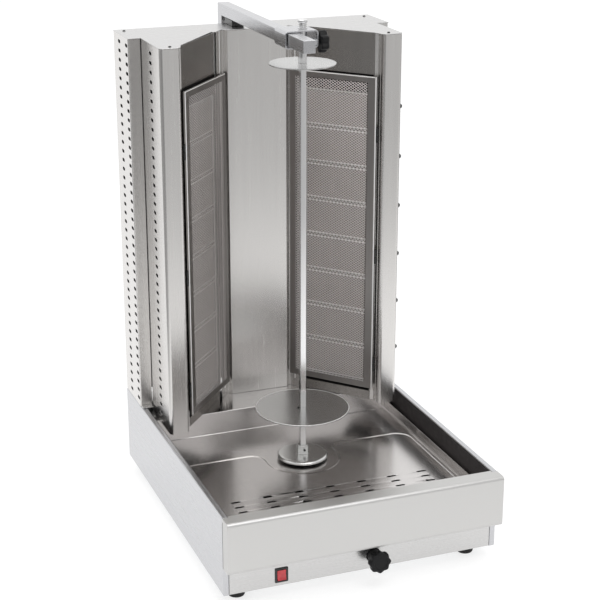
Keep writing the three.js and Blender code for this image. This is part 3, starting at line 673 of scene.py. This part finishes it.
def make_tray():
    half, front, back, floor = TRAY["half"], TRAY["front"], TRAY["back"], TRAY["floor"]
    fold, sweep, low = TRAY["fold"], TRAY["back_fold"], TRAY["floor"] - TRAY["drop"]
    tray = Shape()
    outer = [(-half + fold, front + fold), (half - fold, front + fold), (half - fold, back - sweep),
             (-half + fold, back - sweep)]
    hub_slot = arc(0, SPIT_Y, HUB_SLOT_R, math.pi, 2 * math.pi, 12)
    hub_slot += arc(0, SPIT_Y + SPIT_TRAVEL, HUB_SLOT_R, 0, math.pi, 12)
    tray.add(filled([outer, recess_outline(RECESS_SLOPE), hub_slot], floor))
    steps = 8
    ring = []
    for k in range(steps + 1):
        t = k / steps
        level = floor - (floor - low) * (3 * t * t - 2 * t ** 3)
        ring.append([(x, y, level) for x, y in recess_outline(RECESS_SLOPE - 2 * RECESS_SLOPE * t)])
    tray.add(lofted(ring, False))
    drain = stadium(DRAIN["length"], DRAIN["width"], 5)
    slots = [[(group * DRAIN["pitch"] + DRAIN["shift"] + a, y + b) for a, b in drain]
             for group in range(-3, 4) for y in DRAIN["rows"]]
    tray.add(filled([recess_outline(-RECESS_SLOPE), *slots], low))
    quarter = math.pi / 2

    def bend(radius, parts):
        """The fold from the floor up into a wall, as (distance outwards, height) points."""
        return [(radius * math.sin(quarter * k / parts), floor + radius - radius * math.cos(quarter * k / parts))
                for k in range(parts + 1)]

    def wall(run, normal, top, curl, fold=fold, parts=5):
        """One upturned edge: the fold at the floor, the wall and its rolled rim."""
        (x0, y0), (x1, y1) = run
        nx, ny = normal
        path = bend(fold, parts) + [(fold, top - curl)]
        path += [(fold - curl * (1 - math.cos(a)), top - curl + curl * math.sin(a))
                 for a in (quarter * k / 4 for k in range(1, 5))]
        verts, faces = [], []
        for out, z in path:
            verts += [(x0 + nx * out, y0 + ny * out, z), (x1 + nx * out, y1 + ny * out, z)]
        for k in range(len(path) - 1):
            faces.append((2 * k, 2 * k + 1, 2 * k + 3, 2 * k + 2))
        return verts, faces

    a, b, c, d = outer
    side_curl = 1.6
    tray.add(wall((a, b), (0, -1), TRAY["front_edge"], 1.0))
    tray.add(wall((b, c), (1, 0), TRAY["edge"], side_curl))
    tray.add(wall((c, (half - fold, back)), (1, 0), TRAY["edge"], side_curl))
    tray.add(wall((c, d), (0, 1), TRAY["back_edge"], 0.8, sweep, 4))
    tray.add(wall((d, a), (-1, 0), TRAY["edge"], side_curl))
    tray.add(wall(((fold - half, back), d), (-1, 0), TRAY["edge"], side_curl))
    path = bend(fold, 5) + [(fold, TRAY["edge"] - side_curl)]
    steps = 6
    for (x, y), start in ((a, 2), (b, 3)):
        verts, faces = [], []
        for out, z in path:
            verts += [(*point, z) for point in arc(x, y, out, quarter * start, quarter * (start + 1), steps)]
        for r in range(len(path) - 1):
            for k in range(steps):
                i = r * (steps + 1) + k
                faces.append((i, i + 1, i + steps + 2, i + steps + 1))
        tray.add((verts, faces))
    wells = Shape()
    for loop in slots:
        walls, faces = lofted([[(x, y, z) for x, y in loop] for z in (low - 0.05, low - DRAIN["depth"])], False)
        wells.add((walls, faces + [list(range(len(loop), 2 * len(loop)))]))
    # Painted shade: the drain slot walls are black, closed at the bottom.
    piece("drain_slot_shade_walls", wells, "shade_black", "frame", flip=True)
    ends = Shape()
    for s in SIDES.values():
        ends.add(block(*sorted((s * 265, s * 271.8)), back - 1.4, back - 0.1, 127.3, TRAY["back_edge"]))
    piece("tray_back_corners", ends, "tray", "frame", bevel=0.3)
    piece("drip_tray_fine", tray, "tray", "frame", ["drip_tray"], thickness=TRAY["sheet"], sharp=40)


# ---------------------------------------------------------------- controls

def star_knob(radius, depth, lobes=8, cut=0.06):
    """A scalloped hand knob about its own Z axis, its face at the top, with a sunk cap."""
    levels = [(0.90, 0.0), (0.97, 0.06), (1.0, 0.2), (1.0, 0.72), (0.975, 0.86), (0.92, 0.95), (0.84, 1.0)]
    outline = star(radius, lobes, radius * cut)
    loops = [[(x * s, y * s, depth * h) for x, y in outline] for s, h in levels]
    cap = radius * 0.62
    round_face = [(cap * math.cos(angle), cap * math.sin(angle)) for angle in (math.atan2(y, x) for x, y in outline)]
    loops += [[(x * s, y * s, depth - sunk) for x, y in round_face]
              for s, sunk in ((1, 0), (0.95, 1.0), (0.5, 0.9), (0.1, 0.6))]
    return lofted(loops)


def make_front_knob():
    x, z = 22, 57
    knob = Shape().add(star_knob(23, 15), facing("-y", x, -23, z))
    hub = rounded_profile([(0, 0), (14, 0), (14, 17), (11, 21.8), (0, 21.8)], 1.5)
    knob.add(turned(hub, 64), facing("-y", x, -1.2, z))
    piece("front_knob_fine", knob, "knob", "adjuster", ["front_knob"], sharp=40)
    collar = Shape().add(turned([(10, 0), (15.5, 0), (15.5, 0.8), (14.9, 1.1), (10, 1.1)], 64, True),
                         facing("-y", x, 0, z))
    piece("screw_bearing_ring", collar, "knob", "frame")


def make_switch():
    x, z = -171.5, 51.5
    outer, inner = (13.5, 15.5), (9.2, 12.0)

    def frame_loop(hx, hz, y, r=2.0):
        """A rectangle with round corners, hx and hz being half its sides."""
        points = []
        for cx, cz, start in ((hx - r, hz - r, 0), (-hx + r, hz - r, 1), (-hx + r, -hz + r, 2), (hx - r, -hz + r, 3)):
            for k in range(6):
                angle = math.pi / 2 * (start + k / 5)
                points.append((x + cx + r * math.cos(angle), y, z + cz + r * math.sin(angle)))
        return points

    loops = [frame_loop(outer[0], outer[1], -0.3), frame_loop(outer[0], outer[1], -1.6),
             frame_loop(outer[0] - 0.9, outer[1] - 0.9, -2.5), frame_loop(inner[0] + 0.8, inner[1] + 0.8, -2.5, 1.0),
             frame_loop(inner[0], inner[1], -1.8, 0.6), frame_loop(inner[0], inner[1], 8.8, 0.6)]
    bezel = Shape().add(lofted(loops, False))
    bezel.add((loops[-1], [list(range(len(loops[-1])))]))
    piece("switch_housing_fine", bezel, "gloss", "frame", ["switch_housing"], sharp=45)

    off_angle, half = -7, 8.8
    tilt = Matrix.Translation((x, 0, z)) @ Matrix.Rotation(rad(off_angle), 4, "X") @ Matrix.Translation((-x, 0, -z))
    face = [(-2.2 - 1.2 * t * t, 10.4 * t) for t in (k / 12 * 2 - 1 for k in range(13))]
    profile = [(5, -7), *face, (5, 7)]
    loops = [[(x + across, y + inset * 0.6, z + up * (1 - inset * 0.04)) for y, up in profile]
             for inset, across in ((0.7, -half), (0, -half + 0.7), (0, half - 0.7), (0.7, half))]
    rocker = Shape().add(lofted(loops), tilt)
    piece("switch_rocker_fine", rocker, "red", "rocker", ["switch_rocker"], sharp=40)


# ---------------------------------------------------------------- burners and guards

NEAR, FAR = Vector((210, 445)), Vector((70, 605))
ALONG = (FAR - NEAR).normalized()
BEHIND = Vector((ALONG.y, -ALONG.x))
TILE = {"count": 8, "pitch": 81.6, "first": 222, "w0": 26, "w1": 175, "d": 18, "h": 79.6, "t": 13}
GUARD = {"z0": 211, "z1": 913, "w0": 1.5, "w1": 209, "d1": 4}
FIELD = {"w0": 19, "w1": 197, "z0": 222, "z1": 902}
MESH = {"long": 8.4, "short": 5.6, "open": 0.78, "sheet": 0.5}


def burner_place(side):
    """Matrix from (w, z, d) to machine millimetres: w from post to back, d away from the spit."""
    s = SIDES[side]
    return Matrix(((s * ALONG.x, 0, s * BEHIND.x, s * NEAR.x), (ALONG.y, 0, BEHIND.y, NEAR.y), (0, 1, 0, 0),
                   (0, 0, 0, 1)))


def lattice():
    """A field of staggered diamond openings in a thin sheet, whole cells only, in (w, z, d)."""
    front_edge, front_hole = -0.2, 0.2
    long, short, openness, depth = MESH["long"], MESH["short"], MESH["open"], MESH["sheet"]
    columns = int((FIELD["w1"] - FIELD["w0"]) / long)
    rows = int((FIELD["z1"] - FIELD["z0"]) / short)
    w_start = FIELD["w0"] + ((FIELD["w1"] - FIELD["w0"]) - columns * long) / 2
    z_start = FIELD["z0"] + ((FIELD["z1"] - FIELD["z0"]) - rows * short) / 2
    verts, faces = [], []
    shared = {}

    def corner(w, z, d):
        key = (round(w * 100), round(z * 100), round(d * 100))
        if key not in shared:
            shared[key] = len(verts)
            verts.append((w, z, d))
        return shared[key]

    def cell(cw, cz):
        reach = [(long / 2, 0), (0, short / 2), (-long / 2, 0), (0, -short / 2)]
        rim = [[corner(cw + a, cz + b, d) for a, b in reach] for d in (front_edge, depth)]
        hole = [[corner(cw + a * openness, cz + b * openness, d) for a, b in reach] for d in (front_hole, depth)]
        for k in range(4):
            n = (k + 1) % 4
            faces.append((rim[0][k], rim[0][n], hole[0][n], hole[0][k]))
            faces.append((rim[1][n], rim[1][k], hole[1][k], hole[1][n]))
            faces.append((hole[0][k], hole[0][n], hole[1][n], hole[1][k]))

    for j in range(2 * rows - 1):
        shift = 0 if j % 2 == 0 else long / 2
        count = columns if j % 2 == 0 else columns - 1
        for i in range(count):
            cell(w_start + long / 2 + shift + i * long, z_start + short / 2 + j * short / 2)
    return verts, faces


def ring_plate(outer, inner, d0, d1):
    """A flat rectangular ring in (w, z) between two depths."""
    (a0, a1, b0, b1), (c0, c1, e0, e1) = outer, inner
    out = [(a0, b0), (a1, b0), (a1, b1), (a0, b1)]
    inn = [(c0, e0), (c1, e0), (c1, e1), (c0, e1)]
    loops = [[(w, z, d0) for w, z in out], [(w, z, d1) for w, z in out], [(w, z, d1) for w, z in inn],
             [(w, z, d0) for w, z in inn], [(w, z, d0) for w, z in out]]
    return lofted(loops, False)


def make_guard(side):
    place = burner_place(side)
    g, f = GUARD, FIELD
    body = side + "_guard"
    mesh = Shape().add(lattice(), place @ Matrix.Translation((0, 0, 0.8)))
    piece(side + "_guard_mesh", mesh, "mesh", body, sharp=30)
    border = Shape()
    border.add(ring_plate((g["w0"] + 1, g["w1"] - 1, g["z0"] + 1, g["z1"] - 1),
                          (f["w0"] + 3, f["w1"] - 3, f["z0"] + 2, f["z1"] - 2), 0.2, 1.2), place)
    border.add(ring_plate((g["w0"], g["w1"], g["z0"], g["z1"]),
                          (g["w0"] + 2.4, g["w1"] - 2.4, g["z0"] + 2.4, g["z1"] - 2.4), 0, g["d1"]), place)
    piece(side + "_guard_border", border, "guard", body, [side + "_mesh_guard"], bevel=0.7, segments=3)
    roll = peg(1.7, g["z0"] + 0.6, g["z1"] - 0.6, 0.6)
    hem = Shape().add(roll, place @ Matrix.Translation((g["w0"] + 1.8, 0, 0.5)) @ TURN["y"])
    hem.add(block(g["w0"] + 3.2, g["w1"] - 0.6, g["z1"] - 2.6, g["z1"] - 0.4, -0.6, 1.4), place)
    # Painted highlight: the hem is near-white steel, a bright line along the guard edge.
    piece(side + "_guard_hem", hem, "rail", body, bevel=0.7, segments=3)
    hinge, knuckle = Shape(), peg(2.3, -7, 7, 0.5)
    for z in (790, 521, 270):
        for part in (-8.5, 8.5):
            hinge.add(knuckle, place @ Matrix.Translation((-0.8, z + part, 2.4)) @ TURN["-y"])
        hinge.add(block(-0.8, 1.2, z - 17, z + 17, 1.4, 3.4), place)
    piece(side + "_guard_hinges", hinge, "gloss", body, sharp=40)


def make_tiles(side):
    place = burner_place(side)
    t = TILE
    for k in range(t["count"]):
        z0 = t["first"] + k * t["pitch"]
        z1 = z0 + t["h"]
        levels = [(0, t["d"] + t["t"]), (0, t["d"] + 1.7), (1.2, t["d"] + 0.7), (3.6, t["d"] + 0.4), (4.6, t["d"])]
        loops = [[(w, z, d) for w, z in ((t["w0"] + i, z0 + i), (t["w1"] - i, z0 + i), (t["w1"] - i, z1 - i),
                                         (t["w0"] + i, z1 - i))] for i, d in levels]
        shape = Shape().add(lofted(loops), place)
        name = "%s_burner_tile_%d" % (side, k + 1)
        piece(name + "_fine", shape, "ceramic", "frame", [name], bevel=0.3, sharp=20)


def make_surround(side):
    """Black sheet round the tiles, just in front of the burner frame, as painted shade where the frame lies in shadow.
    """
    d0, d1 = 10.6, 11.7
    ring = Shape().add(ring_plate((14, 179, 200, 915), (24.5, 176.5, 219.5, 875.5), d0, d1), burner_place(side))
    piece(side + "_tile_shade_surround", ring, "shade_black", "frame", bevel=0.3)


def make_corner_folds(side):
    """Folded edges where the burner frame meets the centre plate, in painted highlight steel."""
    place = burner_place(side)
    folds = Shape().add(block(180.4, 189, 197, 1002.5, 13.2, 14.4), place)
    folds.add(block(198.5, 200.7, 197, 1002.5, 7.2, 8.4), place)
    piece(side + "_corner_folds", folds, "rail", "frame", bevel=0.6, segments=3)


def make_tile_rails(side):
    """Pressed channels that hold the edges of the tiles, their lips in painted highlight steel, seen as pairs of bright
    lines.
    """
    place, t = burner_place(side), TILE
    rails, webs = Shape(), Shape()
    front, lip = t["d"] - 0.4, t["d"] - 2.6
    for k in range(t["count"] + 1):
        z = t["first"] + k * t["pitch"] - 1
        half = 5.6 if 0 < k < t["count"] else 3.6
        for end in (-1, 1):
            foot, top = sorted((end * half, end * (half - 2.3)))
            rails.add(block(t["w0"] - 2, t["w1"] + 2, z + foot, z + top, lip, front), place)
        webs.add(block(t["w0"] - 1, t["w1"] + 1, z - half + 2, z + half - 2, front - 0.9, front - 0.1), place)
    z0, z1 = t["first"] - 4, t["first"] + t["count"] * t["pitch"] + 2
    for w in (t["w0"] - 2, t["w1"]):
        rails.add(lofted([[(a, z, d) for a, d in ((w, front), (w, lip), (w + 2, lip), (w + 2, front))]
                          for z in (z0, z1)]), place)
    # Painted highlight: the rail lips are near-white steel.
    piece(side + "_tile_rails", rails, "rail", "frame", bevel=0.4)
    piece(side + "_tile_rail_webs", webs, "heat", "frame", bevel=0.2)


def make_burners():
    for side in SIDES:
        refined(side + "_burner_frame", "heat", 0.4)
        refined(side + "_burner_casing", "zinc", 0.4)
        make_tiles(side)
        make_surround(side)
        make_corner_folds(side)
        make_tile_rails(side)
        make_guard(side)


# ---------------------------------------------------------------- tower

def make_tower():
    for side, s in SIDES.items():
        box_vents, cover_vents = vent_rows(s)
        refined(side + "_side_panel", "steel_z", 0.3, 1, box_vents)
        refined(side + "_column_cover", "steel_z", 0.3, 1, cover_vents)
        box = sorted((s * 285.8, s * 287.4))
        cover = sorted((s * 257.8, s * 259.4))
        board = Shape().add(block(*box, 574.5, 682, 200, 1000)).add(block(*cover, 452, 560, 200, 1000))
        # Painted shade: black boards behind the vent slots.
        piece(side + "_vent_shade_board", board, "shade_black", "frame", bevel=0.3)
        post = [(s * x, y) for x, y in ((220, 460), (220, 442), (227, 435.2), (254, 435.2), (261, 442), (261, 571))]
        cap = Shape().add(raised(post, 178.7, 180.2))
        piece(side + "_post_bottom", cap, "steel_z", "frame", bevel=0.4)
        strip = [(219.2, 449), (219.2, 459.4), (211.4, 463.2), (210.9, 462.1), (218, 458.6), (218, 449)]
        filler = Shape().add(raised([(s * x, y) for x, y in strip], 180, 1003))
        piece(side + "_post_filler", filler, "steel_z", "frame", bevel=0.3)
        bead = Shape().add(peg(1.5, 181, 1003, 0.6), facing("z", s * 220.6, 441.4, 0))
        # Painted highlight: a near-white bead, a bright line along the post's inner edge.
        piece(side + "_post_edge", bead, "rail", "frame", sharp=50)
        tab = Shape().add(block(*sorted((s * 264, s * 288)), 556, 571, 194.6, 197))
        tab.add(block(*sorted((s * 266, s * 276)), 536, 560, 180, 182.5))
        piece(side + "_foot_tabs", tab, "steel_x", "frame", bevel=0.5)
    refined("back_plate", "steel_z", 0.3)
    refined("tower_back", "steel_z", 0.5, 2, back_louvres())
    refined("top_cover", "steel_x", 0.4)
    domes = Shape()
    dome = turned([(5.6, 0), (5.6, 0.8), (5.2, 2.6), (4.2, 4.2), (2.6, 5.3), (1.0, 5.9), (0, 6.0)], 40)
    for k in range(6):
        domes.add(dome, facing("x", 262, 446, 306 + 108.4 * k))
    piece("post_dome_nuts", domes, "gloss", "frame", sharp=60)
    edge = [(x, BACK_FACE, z) for x in (-276, 276) for z in (214, 470, 730, 986)]
    edge += [(x, BACK_FACE, z) for x in (-90, 90) for z in (214, 986)]
    screws("tower_back_screws", edge, "y", "polished", "frame")
    edge = [(x, 450, TOP_FACE) for x in (-236, 236)] + [(x, 664, TOP_FACE) for x in (-272, 272)]
    screws("top_cover_screws", edge, "z", "gloss", "frame", 3.2, 1.8)


def back_louvres():
    slot = raised(stadium(46, 6), -5, 5)
    turn = Matrix(((1, 0, 0, 0), (0, 0, 1, 0), (0, 1, 0, 0), (0, 0, 0, 1)))
    holes = Shape()
    for z in [300 + 26 * k for k in range(9)] + [700 + 26 * k for k in range(9)]:
        for x in (-190, -120, 120, 190):
            holes.add(slot, Matrix.Translation((x, 685, z)) @ turn)
    return holes


# ---------------------------------------------------------------- spit

def square_loop(half, z, steps):
    """Points along a square about Z, at equal angles from a corner."""
    loop = []
    for k in range(steps):
        t = 2 * math.pi * k / steps + math.pi / 4
        reach = half / max(abs(math.cos(t)), abs(math.sin(t)))
        loop.append((reach * math.cos(t), reach * math.sin(t), z))
    return loop


def bored_disc(radius, low, high, half=6.3, sides=128):
    """A disc with a square hole for the rod, its rim softly rounded, drawn about Z."""
    edge = 0.9
    rims = [(radius - edge, low), (radius - edge * 0.3, low + edge * 0.35), (radius, (low + high) / 2),
            (radius - edge * 0.3, high - edge * 0.35), (radius - edge, high)]
    square_low, square_high = (square_loop(half, z, sides) for z in (low, high))
    loops = [square_low]
    for r, z in rims:
        loops.append([(x, y, z) for x, y in circle(r, sides, math.pi / 4)])
    loops += [square_high, square_low]
    return lofted(loops, False)


def make_spit():
    place = facing("z", 0, SPIT_Y, 0)
    base = rounded_profile([(6.6, 131), (51, 131), (54, 132.6), (54, 135.4), (50.6, 138.6), (46, 139), (13.6, 139),
                            (12.6, 140), (12.6, 157), (11.4, 159), (6.6, 159)], 1.6, 5)
    shape = Shape().add(turned(base, 128, True), place)
    piece("base_disc_fine", shape, "turned", "spit", ["base_disc"], sharp=50)
    screw = Shape().add(peg(2.4, 0, 3, 0.4), facing("-y", 0, SPIT_Y - 12.2, 149))
    piece("collar_set_screw", screw, "gloss", "spit", sharp=40)

    lower = Shape().add(bored_disc(100, 241.75, 244.25), place)
    piece("lower_disc_fine", lower, "disc", "spit", ["lower_disc"], sharp=40)
    hub = Shape().add(turned(rounded_profile([(8.8, 228), (14, 228), (14, 241.7), (8.8, 241.7)], 0.8), 64, True), place)
    piece("lower_disc_hub", hub, "bright", "spit", sharp=40)
    # Painted highlight: a near-white rim, a bright line round the lower disc.
    rim = [(x + 98.4, z + 243) for x, z in circle(1.5, 16)]
    piece("lower_disc_rim", Shape().add(turned(rim, 128, True), place), "rail", "spit")
    grub = Shape().add(peg(2.2, 0, 1.8, 0.3), facing("z", -9.6, SPIT_Y - 2, 244.2))
    piece("lower_disc_grub_screw", grub, "gloss", "spit", sharp=40)
    upper = Shape().add(bored_disc(67, 974.75, 977.25), place)
    piece("upper_disc_fine", upper, "disc", "upper_disc", ["upper_disc"], sharp=40)
    # Painted highlight: a near-white rim, a bright line round the upper disc.
    rim = [(x + 65.7, z + 976) for x, z in circle(1.25, 16)]
    piece("upper_disc_rim", Shape().add(turned(rim, 128, True), place), "rail", "upper_disc")

    rod = Shape().add(block(-6, 6, SPIT_Y - 6, SPIT_Y + 6, 133.3, 978.5))
    piece("spit_rod_fine", rod, "polished", "spit", ["spit_rod"], bevel=0.9, segments=3)
    pin = [(0, 977.6), (9, 977.6), (9, 1044)]
    for z in (1046.5, 1050.5, 1054.5):
        pin += [(9, z), (8.0, z + 0.8), (8.0, z + 1.6), (9, z + 2.4)]
    pin += [(9.6, 1058), (9.6, 1060.6), (8.4, 1062), (0, 1062)]
    piece("spit_pin", Shape().add(turned(pin, 72), place), "polished", "spit", sharp=35)
    refined("drive_hub", "polished", 0.3)


# ---------------------------------------------------------------- arm and yoke

def make_arm():
    refined("arm_tube", "steel_y", 0.9, 3)
    refined("top_yoke", "steel_y", 0.45, 3)
    y, z = 310, 1021
    knob = Shape().add(star_knob(22, 16, 6, 0.12), facing("x", 24.5, y, z))
    knob.add(peg(4, -17.2, 3, 0.5, 32), facing("x", 24.5, y, z))
    piece("top_knob_fine", knob, "knob", "clamp_knob", ["top_knob"], sharp=40)
    hexagon = turned([(5.2, 0), (9, 0), (9, 5.5), (8.2, 6.2), (5.2, 6.2)], 6, True)
    nut = Shape().add(hexagon, facing("-x", 19, y, z))
    piece("yoke_weld_nut", nut, "zinc", "top_slider", bevel=0.4, sharp=30)
    spacer = Shape().add(block(-44, -17, 636, 684, 1004.2, 1016.3))
    piece("arm_spacer", spacer, "gloss", "frame", bevel=0.8)


# ---------------------------------------------------------------- services and drive

def make_services():
    refined("gas_manifold", "brass", 0.4)
    refined("cable_gland", "gloss", 0.5)
    for side, s in SIDES.items():
        x, z = s * 75, 110
        shape = Shape()
        skirt = rounded_profile([(0, 2), (19, 2), (19, 7), (17.4, 9), (15.2, 9.6), (14.6, 20), (13, 22), (0, 22)], 0.9)
        shape.add(turned(skirt, 72), facing("y", x, BACK_FACE, z))
        shape.add(turned([(0, -25.7), (4, -25.7), (4, 3), (0, 3)], 24), facing("y", x, BACK_FACE, z))
        shape.add(block(x - 3.5, x + 3.5, 694, 710.8, z - 17, z + 17))
        piece(side + "_gas_knob_fine", shape, "knob", side + "_gas_knob", [side + "_gas_knob"],
              bevel=0.7, sharp=40)
        washer = turned([(9, 0), (23, 0), (23, 0.9), (22.4, 1.3), (9, 1.3)], 72, True)
        plate = Shape().add(washer, facing("y", x, BACK_FACE, z))
        piece(side + "_tap_plate", plate, "polished", "frame", sharp=40)
    for cad_node in ("slide_frame", "carriage", "gear_motor", "lead_screw"):
        refined(cad_node, "zinc", 0.5)


# ---------------------------------------------------------------- build

make_camera()
make_studio()
make_floor()
looks = make_materials()
make_base()
make_tray()
make_front_knob()
make_switch()
make_burners()
make_tower()
make_spit()
make_arm()
make_services()
